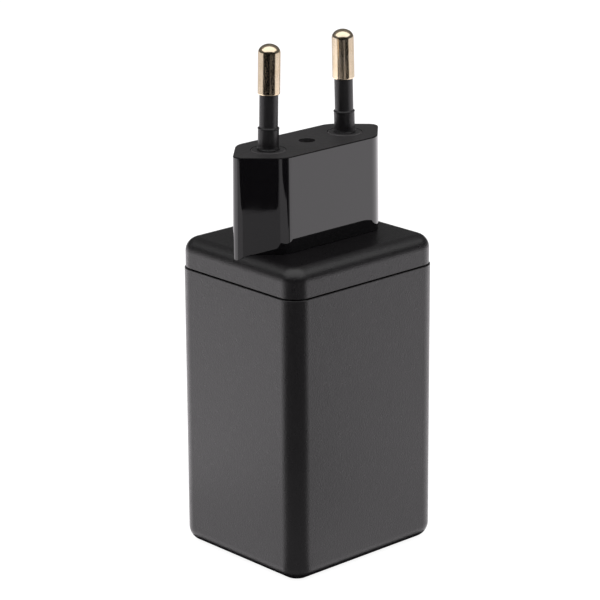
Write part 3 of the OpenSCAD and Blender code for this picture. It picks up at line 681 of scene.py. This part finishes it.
def make_pin(side, name):
    tail_r, tail_len, root = 1.5 * MM, 13 * MM, 2 * MM
    core_r, head_r, bare = 1.15 * MM, 2.0 * MM, 10 * MM
    dome_h, edge = 1.6 * MM, 0.25 * MM
    dome_z = PIN_LEN - dome_h
    path = runs((0, -tail_len), (tail_r - edge, -tail_len), (tail_r, edge - tail_len), (tail_r, -root),
                (core_r, -root), (core_r, bare), (head_r - edge, bare))
    path += arc(head_r - edge, bare + edge, edge, -90, 0, 4)
    path += line(head_r, bare + edge, head_r, dome_z)
    steps = 16
    dome = []
    for k in range(steps + 1):
        a = math.pi / 2 * k / steps
        n = Vector((math.cos(a) / head_r, math.sin(a) / dome_h)).normalized()
        dome.append((head_r * math.cos(a), dome_z + dome_h * math.sin(a), tuple(n)))
    shell = Shell()
    shell.lathe(path + joined(dome), pin_place(side), 72)
    return shell.piece(name + "_plated", PIN_METAL, "pin_metal", name)


def make_sleeve(side, name):
    inner, root_r, root = 1.17 * MM, 1.9 * MM, 2 * MM
    flare_r, flare_h, flare_z = 2.05 * MM, 0.8 * MM, 0.06 * MM
    collar_r, collar_z, thin_r, top = 1.875 * MM, 4 * MM, 1.675 * MM, 10 * MM
    step, edge = 0.15 * MM, 0.08 * MM
    rim, rim_h = 0.06 * MM, 0.3 * MM
    path = runs((inner, -root), (root_r, -root), (root_r, flare_z), (flare_r - edge, flare_z))
    path += arc(flare_r - edge, flare_z + edge, edge, -90, 0, 3)
    path += flare(flare_r, flare_z + edge, collar_r, flare_h)
    path += line(collar_r, flare_h, collar_r, collar_z - rim_h)
    path += shoulder(collar_r, collar_z - rim_h, collar_r + rim, collar_z - rim_h / 2)
    path += line(collar_r + rim, collar_z - rim_h / 2, collar_r + rim, collar_z - edge)
    path += arc(collar_r + rim - edge, collar_z - edge, edge, 0, 90, 3)
    path += line(collar_r + rim - edge, collar_z, thin_r + step, collar_z)
    path += shoulder(thin_r + step, collar_z, thin_r, collar_z + step)
    path += line(thin_r, collar_z + step, thin_r, top - edge)
    path += arc(thin_r - edge, top - edge, edge, 0, 90, 3)
    path += runs((thin_r - edge, top), (inner, top), (inner, -root))
    shell = Shell()
    shell.lathe(path, pin_place(side), 56)
    return shell.piece(name + "_moulded", SLEEVE_BLACK, "sleeve_plastic", name)


def flare(r0, z0, r1, z1, steps=6):
    """A hollow curve from a wide foot to an upright wall."""
    made = []
    for k in range(steps + 1):
        t = k / steps
        r = r1 + (r0 - r1) * (1 - t) ** 2
        slope = 2 * (r0 - r1) * (1 - t) / (z1 - z0)
        n = Vector((1, slope)).normalized()
        made.append((r, z0 + (z1 - z0) * t, tuple(n)))
    return joined(made)


def shoulder(r0, z0, r1, z1, steps=6):
    """A smooth step from one radius to a smaller one."""
    made = []
    for k in range(steps + 1):
        t = k / steps
        ease = t * t * (3 - 2 * t)
        slope = (r0 - r1) * 6 * t * (1 - t) / (z1 - z0)
        n = Vector((1, slope)).normalized()
        made.append((r0 + (r1 - r0) * ease, z0 + (z1 - z0) * t, tuple(n)))
    return joined(made)


def make_bushing(side, name):
    shell = Shell()
    x = side * PIN_GAP / 2
    body = circle(BUSHING_R, x)
    flange_r, flange_t = 4.2 * MM, 1.5 * MM
    flange = circle(flange_r, x)
    flange_z = FACE_IN - flange_t
    seat_r, tail_r, root = 1.92 * MM, 1.52 * MM, 2 * MM
    small = 0.12 * MM
    shift = math.tan(PIN_TILT) * side

    def bore(r, z):
        return circle(r, x - shift * (z - BLOCK_TOP))

    shell.strip(body.ring(-small, BLOCK_TOP, (0, 1)), bore(seat_r, BLOCK_TOP).ring(0, BLOCK_TOP, (0, 1)))
    sweep(shell, body, arc(-small, BLOCK_TOP - small, small, 0, 90, 3))
    band(shell, body, BLOCK_TOP - small, body, FACE_IN, (1, 0))
    band(shell, body, FACE_IN, flange, FACE_IN, (0, 1))
    band(shell, flange, FACE_IN, flange, flange_z, (1, 0))
    step_z = BLOCK_TOP - root
    band(shell, flange, flange_z, bore(tail_r, flange_z), flange_z, (0, -1))
    band(shell, bore(tail_r, flange_z), flange_z, bore(tail_r, step_z), step_z, (-1, 0))
    band(shell, bore(tail_r, step_z), step_z, bore(seat_r, step_z), step_z, (0, 1))
    band(shell, bore(seat_r, step_z), step_z, bore(seat_r, BLOCK_TOP), BLOCK_TOP, (-1, 0))
    made = shell.piece(name + "_moulded", BLOCK_MATTE, "sleeve_plastic", name)
    # The rounded top edge takes the lighter grey, a painted highlight.
    made.data.materials.append(PAINTED_RIM_HIGHLIGHT)
    for face in made.data.polygons:
        if face.center.z > BLOCK_TOP - small and face.normal.z < LEVEL:
            face.material_index = 1
    return made


# ---- connectors ----

def centred(node, w=None, d=None, r=None):
    """An outline on a node's middle, of the node's own size unless another is given.

    Its corners are rounded to r, or its ends are half round if r is left out.
    """
    low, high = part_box(node)
    w, d = w or high.x - low.x, d or high.y - low.y
    form = stadium(w, d) if r is None else rounded(w, d, r, 6)
    return moved(form, 0, (low.y + high.y) / 2)


def make_port_shell(name, outline, springs=()):
    """A drawn steel shell with a rolled mouth, and springs pressed in from its long walls."""
    shell = Shell()
    low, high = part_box(name)
    t, r, top = 0.3 * MM, 0.15 * MM, high.z
    sweep(shell, outline, runs((0, low.z + r), (0, top), (-t, top), (-t, low.z + r))
          + arc(-r, low.z + r, r, 180, 360, 8))
    for x in springs:
        for side, wall_y in ((-1, low.y + t), (1, high.y - t)):
            pressed_spring(shell, x, wall_y, -side, low.z + SPRING_Z[0], low.z + SPRING_Z[1])
    shell.piece(name + "_drawn", SHELL_STEEL, "shell_steel", name)


def pressed_spring(shell, x, y, way, z0, z1, half=0.9 * MM, bow=0.4 * MM, steps=14):
    """A bowed finger that stands in from a wall at y."""
    rows = []
    for k in range(steps + 1):
        t = k / steps
        slope = bow * math.pi / (z1 - z0) * math.sin(2 * math.pi * t)
        out = bow * math.sin(math.pi * t) ** 2
        rows.append((y + way * out, z0 + (z1 - z0) * t, Vector((0, way, -slope))))
    for (ya, za, na), (yb, zb, nb) in zip(rows, rows[1:]):
        shell.face([(x - half, ya, za), (x + half, ya, za), (x + half, yb, zb), (x - half, yb, zb)],
                   [na, na, nb, nb])
        for side in (-1, 1):
            edge = x + side * half
            shell.face([(edge, ya, za), (edge, yb, zb), (edge, y, zb), (edge, y, za)], [(side, 0, 0)] * 4)


def make_insulator(name, base, base_z, tongue, bevel):
    """A block that fills the back of a shell, with a tongue that stands forward of it."""
    shell = Shell()
    low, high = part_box(name)
    tip = low.z
    sweep(shell, tongue, runs((-bevel, tip), (0, tip + bevel), (0, base_z)))
    shell.flat([tongue.loop(-bevel, tip)], DOWN)
    shell.flat([base.loop(0, base_z), tongue.loop(0, base_z)], DOWN)
    sweep(shell, base, line(0, base_z, 0, high.z))
    shell.flat([base.loop(0, high.z)], UP)
    shell.piece(name + "_moulded", TONGUE_BLACK, "connector_plastic", name)


def make_connectors():
    make_port_shell("usb_a_shell", centred("usb_a_shell", r=USB_A_R), (-USB_A_SPRING_X, USB_A_SPRING_X))
    low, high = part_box("usb_a_shell")
    tongue = moved(rounded(*USB_A_TONGUE, 4), 0, (low.y + high.y) / 2 + USB_A_TONGUE_Y)
    base = centred("usb_a_insulator", r=INSULATOR_R)
    make_insulator("usb_a_insulator", base, USB_A_BASE_Z, tongue, bevel=0.25 * MM)
    for end in "ab":
        shell, insulator = "usb_c_shell_" + end, "usb_c_insulator_" + end
        make_port_shell(shell, centred(shell))
        tongue = centred(insulator, *USB_C_TONGUE)
        make_insulator(insulator, centred(insulator), USB_C_BASE_Z, tongue, bevel=0.12 * MM)


# ---- finishes of the parts inside, which keep their CAD shapes ----

def wound(name, color, other, metallic, pitch):
    """Wire wound in close turns along X."""
    m = Material(name, color, 0.32, metallic)
    m.vary_color(m.noise(2 * MM, 2), other)
    m.vary_rough(m.noise(0.5 * MM, 3), 0.08)
    m.bump(m.ridges(pitch), pitch * 0.4)
    return m.made


def circuit_board():
    """Green solder mask over woven glass."""
    m = Material("circuit_board", (0.012, 0.085, 0.035), 0.38)
    m.vary_color(m.noise(5 * MM, 3), (0.02, 0.12, 0.05))
    m.vary_rough(m.noise(0.8 * MM, 3), 0.08)
    for axis in "XYZ":
        m.bump(m.ridges(0.5 * MM, axis), 0.006 * MM)
    return m.made


def leaded(name, color, rough, axis, centre, half, metal_rough=0.35):
    """A body whose ends or legs, farther than half from its centre, are bare tinned metal."""
    m = Material(name, color, rough)
    m.vary_rough(m.noise(0.4 * MM, 3), rough * 0.15)
    m.bump(m.noise(0.15 * MM, 3), 0.006 * MM)
    m.second(m.beyond(axis, centre, half), (0.74, 0.73, 0.70), metal_rough)
    return m.made


def chip(name, node, legs=0.9 * MM):
    """Moulded epoxy with tinned legs along Z."""
    low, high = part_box(node)
    return leaded(name, CHIP_BLACK, 0.6, "Z", (low.z + high.z) / 2, (high.z - low.z) / 2 - legs)


TIN = ((0.78, 0.77, 0.73), (0.66, 0.65, 0.62))
COPPER = ((0.72, 0.30, 0.12), (0.80, 0.38, 0.17))
ENAMEL = ((0.62, 0.50, 0.10), (0.70, 0.58, 0.14))
CHIP_BLACK = (0.018, 0.018, 0.020)
# By record slot: name, two colours, roughness, metallic, grain size and depth in mm, and its stretch.
INNER_FINISHES = {
    "contact_metal": ("tinned_bronze", *TIN, 0.3, 1.0, 0.2, 0.002, (1, 1, 0.1)),
    "tinned_metal": ("tinned_wire", *TIN, 0.35, 1.0, 0.15, 0.002),
    "blue_epoxy": ("blue_epoxy", (0.02, 0.08, 0.36), (0.03, 0.11, 0.44), 0.28, 0, 0.9, 0.03),
    "dark_epoxy": ("dark_epoxy", (0.02, 0.035, 0.02), (0.03, 0.05, 0.03), 0.35, 0, 0.9, 0.03),
    "yellow_case": ("yellow_case", (0.62, 0.42, 0.04), (0.68, 0.48, 0.06), 0.42, 0, 0.4, 0.01),
    "choke_ferrite": ("coated_ring", (0.02, 0.09, 0.04), (0.03, 0.12, 0.06), 0.4, 0, 0.5, 0.02),
    "can_aluminium": ("drawn_aluminium", (0.80, 0.80, 0.81), (0.70, 0.70, 0.72), 0.3, 1.0,
                      0.2, 0.002, (1, 0.08, 1)),
    "shrink_film": ("shrink_film", (0.012, 0.010, 0.03), (0.018, 0.014, 0.045), 0.22, 0, 1.2, 0.02),
    "core_ferrite": ("ground_ferrite", (0.035, 0.035, 0.038), (0.05, 0.05, 0.053), 0.55, 0, 0.3, 0.02),
    "bobbin_plastic": ("phenolic", (0.014, 0.012, 0.011), (0.022, 0.019, 0.017), 0.45, 0, 0.4, 0.01),
    "polyester_tape": ("polyester_tape", (0.72, 0.46, 0.03), (0.78, 0.53, 0.05), 0.25, 0,
                       1.5, 0.02, (0.3, 1, 1)),
    "chip_plastic": ("chip_epoxy", CHIP_BLACK, (0.026, 0.026, 0.028), 0.6, 0, 0.2, 0.006),
    "thermal_silicone": ("thermal_silicone", (0.28, 0.33, 0.46), (0.33, 0.38, 0.52), 0.75, 0,
                         0.3, 0.03),
    "spreader_metal": ("rolled_aluminium", (0.82, 0.82, 0.83), (0.74, 0.74, 0.76), 0.32, 1.0,
                       0.3, 0.002, (1, 1, 0.05)),
    "film_plastic": ("polyester_film", (0.66, 0.64, 0.55), (0.72, 0.70, 0.62), 0.3, 0, 2, 0.02),
    "gold_contact": ("gold_plate", (0.95, 0.70, 0.30), (0.85, 0.58, 0.24), 0.22, 1.0, 0.2, 0.001)}


def finish_inner_parts():
    """Gives every carried-over node a material: its own, or the one of its record slot."""
    finishes = {}
    for slot, (name, color, other, rough, metallic, size, depth, *stretch) in INNER_FINISHES.items():
        finishes[slot] = simple(name, color, other, rough, metallic, size * MM, depth * MM, *stretch)
    finishes["board"] = circuit_board()
    finishes["insulated_wire"] = wound("insulated_wire", *ENAMEL, 0.0, 0.7 * MM)
    copper_wire = simple("copper_wire", *COPPER, 0.3, 1.0, 0.3 * MM, 0.003 * MM)
    special = {
        "transformer_primary": wound("enamelled_copper", *COPPER, 1.0, 0.35 * MM),
        "choke_winding_a": copper_wire,
        "choke_winding_b": copper_wire}
    low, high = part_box("fuse")
    special["fuse"] = leaded("ceramic_fuse", (0.70, 0.66, 0.58), 0.25, "X", (low.x + high.x) / 2, 3 * MM)
    for node in ("bridge_rectifier", "primary_switch", "sync_rectifier", "optocoupler"):
        special[node] = chip("epoxy_" + node, node)
    for node in ("buck_inductor_a", "buck_inductor_b"):
        low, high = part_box(node)
        body = high.y - low.y - 0.15 * MM      # the rest is its metal pads, on the board's side
        special[node] = leaded("powder_" + node, (0.06, 0.06, 0.065), 0.62, "Y", high.y, body)
    for part in frame["record"]["subparts"]:
        finish = special.get(part["node"]) or finishes.get(part["material_slot"])
        if finish:
            for place in frame["nodes"][part["node"]].material_slots:
                place.material = finish


# ---- stage ----

CAMERA_TURN = math.radians(42.52)
CAMERA_DROP = math.radians(17.676)
FRONT = -math.pi / 2 - CAMERA_TURN      # direction of the camera in plan
FRONT_CORNER = (CORNER_R - BODY_W / 2, CORNER_R - BODY_D / 2)
FLOOR_Z, FLOOR_HALF = -0.05 * MM, 6.0
BACKDROP_R = 8
CARD_Z = -0.3 * MM           # clear of the foot
CORNER_LIFT, PATCH_LIFT, SHADE_LIFT = 0.01 * MM, 0.02 * MM, 0.05 * MM    # no two cards share a place
SHADE_REACH = (0.4 * MM, -2.85 * MM)    # outer and inner edge, outward from the body's outline
SKY = ((-0.06, 0.9), (-0.005, 0.13), (0.33, 0.12), (0.45, 0.16))    # (height of the direction, light)


def add_mesh(name, points, faces, material):
    mesh = bpy.data.meshes.new(name)
    mesh.from_pydata(points, [], faces)
    mesh.materials.append(material)
    made = bpy.data.objects.new(name, mesh)
    bpy.context.scene.collection.objects.link(made)
    return made


def reflected_only(made):
    made.visible_camera = made.visible_diffuse = made.visible_shadow = made.visible_transmission = False


def glow(name, strength, color=(1, 0.967, 0.995)):
    m = bpy.data.materials.new(name)
    m.use_nodes = True
    nodes = m.node_tree.nodes
    nodes.clear()
    light = nodes.new("ShaderNodeEmission")
    light.inputs["Color"].default_value = (*color, 1)
    light.inputs["Strength"].default_value = strength
    out = nodes.new("ShaderNodeOutputMaterial")
    m.node_tree.links.new(light.outputs[0], out.inputs["Surface"])
    return m


def make_floor():
    """A pale floor that is clear from below, so that the port end can be looked at."""
    m = bpy.data.materials.new("pale_floor")
    m.use_nodes = True
    nodes, links = m.node_tree.nodes, m.node_tree.links
    shader = nodes["Principled BSDF"]
    shader.inputs["Base Color"].default_value = (0.3, 0.3, 0.3, 1)
    shader.inputs["Roughness"].default_value = 0.9
    shader.inputs["Emission Color"].default_value = (1, 1, 1, 1)
    shader.inputs["Emission Strength"].default_value = 0.92
    clear = nodes.new("ShaderNodeBsdfTransparent")
    side = nodes.new("ShaderNodeNewGeometry")
    mix = nodes.new("ShaderNodeMixShader")
    links.new(side.outputs["Backfacing"], mix.inputs["Fac"])
    links.new(shader.outputs[0], mix.inputs[1])
    links.new(clear.outputs[0], mix.inputs[2])
    links.new(mix.outputs[0], nodes["Material Output"].inputs["Surface"])
    h, z = FLOOR_HALF, FLOOR_Z
    floor = add_mesh("floor", [(-h, -h, z), (h, -h, z), (h, h, z), (-h, h, z)], [(0, 1, 2, 3)], m)
    floor.visible_glossy = False


def make_backdrop(steps=24):
    """A white surround far away, seen by the camera only."""
    big = BACKDROP_R
    points = [(0, 0, -big)]
    for j in range(1, steps // 2):
        e = -math.pi / 2 + math.pi * j / (steps // 2)
        for i in range(steps):
            a = ROUND * i / steps
            wide = big * math.cos(e)
            points.append((wide * math.cos(a), wide * math.sin(a), big * math.sin(e)))
    points.append((0, 0, big))
    faces = []
    rows = steps // 2 - 1
    for i in range(steps):
        k = (i + 1) % steps
        faces.append((0, 1 + k, 1 + i))
        for j in range(rows - 1):
            n = 1 + j * steps
            faces.append((n + i, n + k, n + steps + k, n + steps + i))
        faces.append((1 + (rows - 1) * steps + i, 1 + (rows - 1) * steps + k, len(points) - 1))
    made = add_mesh("backdrop", points, faces, glow("backdrop_white", 1.05, (1, 1, 1)))
    made.visible_glossy = made.visible_diffuse = made.visible_shadow = made.visible_transmission = False


def card(name, near, far, start, end, strength, steps=12, centre=(0, 0), lift=0.0):
    """A sheet on the floor, seen only in reflections. Angles are from the camera's direction."""
    rows = []
    for r, ks in ((near, range(steps + 1)), (far, range(steps, -1, -1))):
        for k in ks:
            a = FRONT + math.radians(start + (end - start) * k / steps)
            rows.append((centre[0] + r * math.cos(a), centre[1] + r * math.sin(a), CARD_Z + lift))
    reflected_only(add_mesh(name, rows, [tuple(range(len(rows)))], glow(name, strength)))


def wall(name, start, end, top, strength, radius=1.0, steps=8):
    """An upright sheet, seen only in reflections."""
    turns = [FRONT + math.radians(start + (end - start) * k / steps) for k in range(steps + 1)]
    points = [(radius * math.cos(a), radius * math.sin(a), z) for z in (CARD_Z, top) for a in turns]
    n = steps + 1
    faces = [(k, k + 1, n + k + 1, n + k) for k in range(steps)]
    reflected_only(add_mesh(name, points, faces, glow(name, strength)))


def patch(name, corners, strength):
    """A card of any outline, just above the others: (radius, angle) of its corners."""
    rows = []
    for r, turn in corners:
        a = FRONT + math.radians(turn)
        rows.append((r * math.cos(a), r * math.sin(a), CARD_Z + PATCH_LIFT))
    reflected_only(add_mesh(name, rows, [tuple(range(len(rows)))], glow(name, strength)))


def contact_shade():
    """A dark frame just under the foot, where a real table lies in the object's shadow."""
    rings = [rounded(BODY_W + 2 * g, BODY_D + 2 * g, CORNER_R + g, 8).loop(0, CARD_Z + SHADE_LIFT)
             for g in SHADE_REACH]
    n = len(rings[0])
    faces = [(i, (i + 1) % n, n + (i + 1) % n, n + i) for i in range(n)]
    points = [tuple(p) for ring in rings for p in ring]
    reflected_only(add_mesh("contact_shade", points, faces, glow("contact_shade", 0.0)))


def make_top_light():
    """A large soft light overhead, reaching further towards the camera than behind the object."""
    data = bpy.data.lights.new("top_light", "AREA")
    data.shape = "RECTANGLE"
    data.size, data.size_y = 1.6, 2.9
    data.energy = 19.4
    made = bpy.data.objects.new("top_light", data)
    made.location = (0.42 * math.cos(FRONT), 0.42 * math.sin(FRONT), 1.0)
    made.rotation_euler = (0, 0, FRONT)
    made.visible_camera = False
    bpy.context.scene.collection.objects.link(made)


def make_world():
    """Dim above the horizon, bright below it, and darkest on the camera's side."""
    world = bpy.data.worlds.new("studio")
    world.use_nodes = True
    nodes, links = world.node_tree.nodes, world.node_tree.links
    way = nodes.new("ShaderNodeTexCoord")
    split = nodes.new("ShaderNodeSeparateXYZ")
    level = nodes.new("ShaderNodeValToRGB")
    shift = nodes.new("ShaderNodeMapRange")
    shift.inputs["From Min"].default_value = -1.0
    ramp = level.color_ramp
    for height, value in SKY:
        stop = ramp.elements.new((height + 1) / 2)
        stop.color = (value, value, value, 1)
    for end, value in ((0, 0.9), (-1, 0.2)):
        ramp.elements[end].color = (value, value, value, 1)
    links.new(way.outputs["Generated"], split.inputs[0])
    links.new(split.outputs["Z"], shift.inputs["Value"])
    links.new(shift.outputs["Result"], level.inputs["Fac"])
    ahead = nodes.new("ShaderNodeVectorMath")
    ahead.operation = "DOT_PRODUCT"
    ahead.inputs[1].default_value = (math.cos(FRONT), math.sin(FRONT), 0)
    dim = nodes.new("ShaderNodeMapRange")
    for key, value in (("From Min", 0.1), ("From Max", 0.6), ("To Min", 1.0), ("To Max", 0.12)):
        dim.inputs[key].default_value = value
    links.new(way.outputs["Generated"], ahead.inputs[0])
    links.new(ahead.outputs["Value"], dim.inputs["Value"])
    links.new(dim.outputs["Result"], nodes["Background"].inputs["Strength"])
    links.new(level.outputs["Color"], nodes["Background"].inputs["Color"])
    bpy.context.scene.world = world
    bpy.context.scene.view_settings.view_transform = "Standard"


def make_camera():
    """The photograph's view: distance, height, turn, drop and a slight roll."""
    lens, distance, height = 168.87, 512.8 * MM, 46.42 * MM
    aside, roll = -1.405 * MM, math.radians(-0.348)
    ahead = Vector((math.sin(CAMERA_TURN) * math.cos(CAMERA_DROP),
                    math.cos(CAMERA_TURN) * math.cos(CAMERA_DROP), -math.sin(CAMERA_DROP)))
    right = Vector((math.cos(CAMERA_TURN), -math.sin(CAMERA_TURN), 0))
    up = right.cross(ahead)
    target = Vector((0, 0, height)) + right * aside
    right_rolled = right * math.cos(roll) + up * math.sin(roll)
    up_rolled = up * math.cos(roll) - right * math.sin(roll)
    data = bpy.data.cameras.new("camera")
    data.sensor_width, data.lens = 36, lens
    data.clip_start, data.clip_end = 0.01, 20
    made = bpy.data.objects.new("camera", data)
    turn = Matrix((right_rolled, up_rolled, -ahead)).transposed()
    made.matrix_world = Matrix.Translation(target - ahead * distance) @ turn.to_4x4()
    bpy.context.scene.collection.objects.link(made)
    bpy.context.scene.camera = made


make_camera()
make_world()
make_floor()
make_backdrop()
# Cards round the object: inner and outer radius, start and end angle, strength.
for name, *where, strength in (
        ("front_middle", 0.204, 0.315, -12, 12, 0.6),
        ("front_middle_left", 0.204, 0.315, -62, -12, 0.95),
        ("front_middle_right", 0.204, 0.315, 12, 57, 0.85),
        ("front_far", 0.315, 3.0, -62, 8, 0.0),
        ("front_right", 0.315, 3.0, 8, 62, 0.06),
        ("side_right_foot", 0.001, 0.05, 0, 180, 1.35),
        ("side_left_foot", 0.001, 0.05, 0, -180, 1.4),
        ("side_right", 0.05, 0.19, 64, 150, 1.5),
        ("side_left", 0.05, 0.19, -64, -150, 1.82),
        ("side_right_high", 0.19, 0.33, 64, 150, 1.95),
        ("side_left_high", 0.19, 0.33, -64, -150, 1.95),
        ("back_right", 0.05, 0.33, 150, 180, 1.0),
        ("back_left", 0.05, 0.33, -150, -180, 1.0),
        ("side_right_far", 0.33, 3.0, 64, 180, 0.8),
        ("side_left_far", 0.33, 3.0, -64, -180, 0.8)):
    card(name, *where, strength)
patch("dark_middle", ((0.265, -2.8), (0.265, 3.2), (0.292, 6.8), (0.6, 8), (0.6, -60), (0.292, -38)), 0.0)
patch("dark_right", ((0.265, 47), (0.235, 53), (0.235, 57), (0.6, 57), (0.6, 9), (0.292, 25.6)), 0.0)
for name, near, far, strength in (
        ("corner_foot", 0.0, 0.05, 0.35),
        ("corner", 0.05, 0.12, 0.2),
        ("corner_high", 0.12, 0.19, 0.02)):
    card(name, near, far, -65, 65, strength, centre=FRONT_CORNER, lift=CORNER_LIFT)
wall("left_wall", -64, -120, 0.12, 1.25)
wall("right_wall", 64, 120, 0.09, 1.1)
contact_shade()
make_top_light()

make_housing()
make_cap()
make_block()
for side, name in ((-1, "left"), (1, "right")):
    make_pin(side, "pin_" + name)
    make_sleeve(side, "pin_sleeve_" + name)
    make_bushing(side, "pin_bushing_" + name)
make_connectors()
finish_inner_parts()
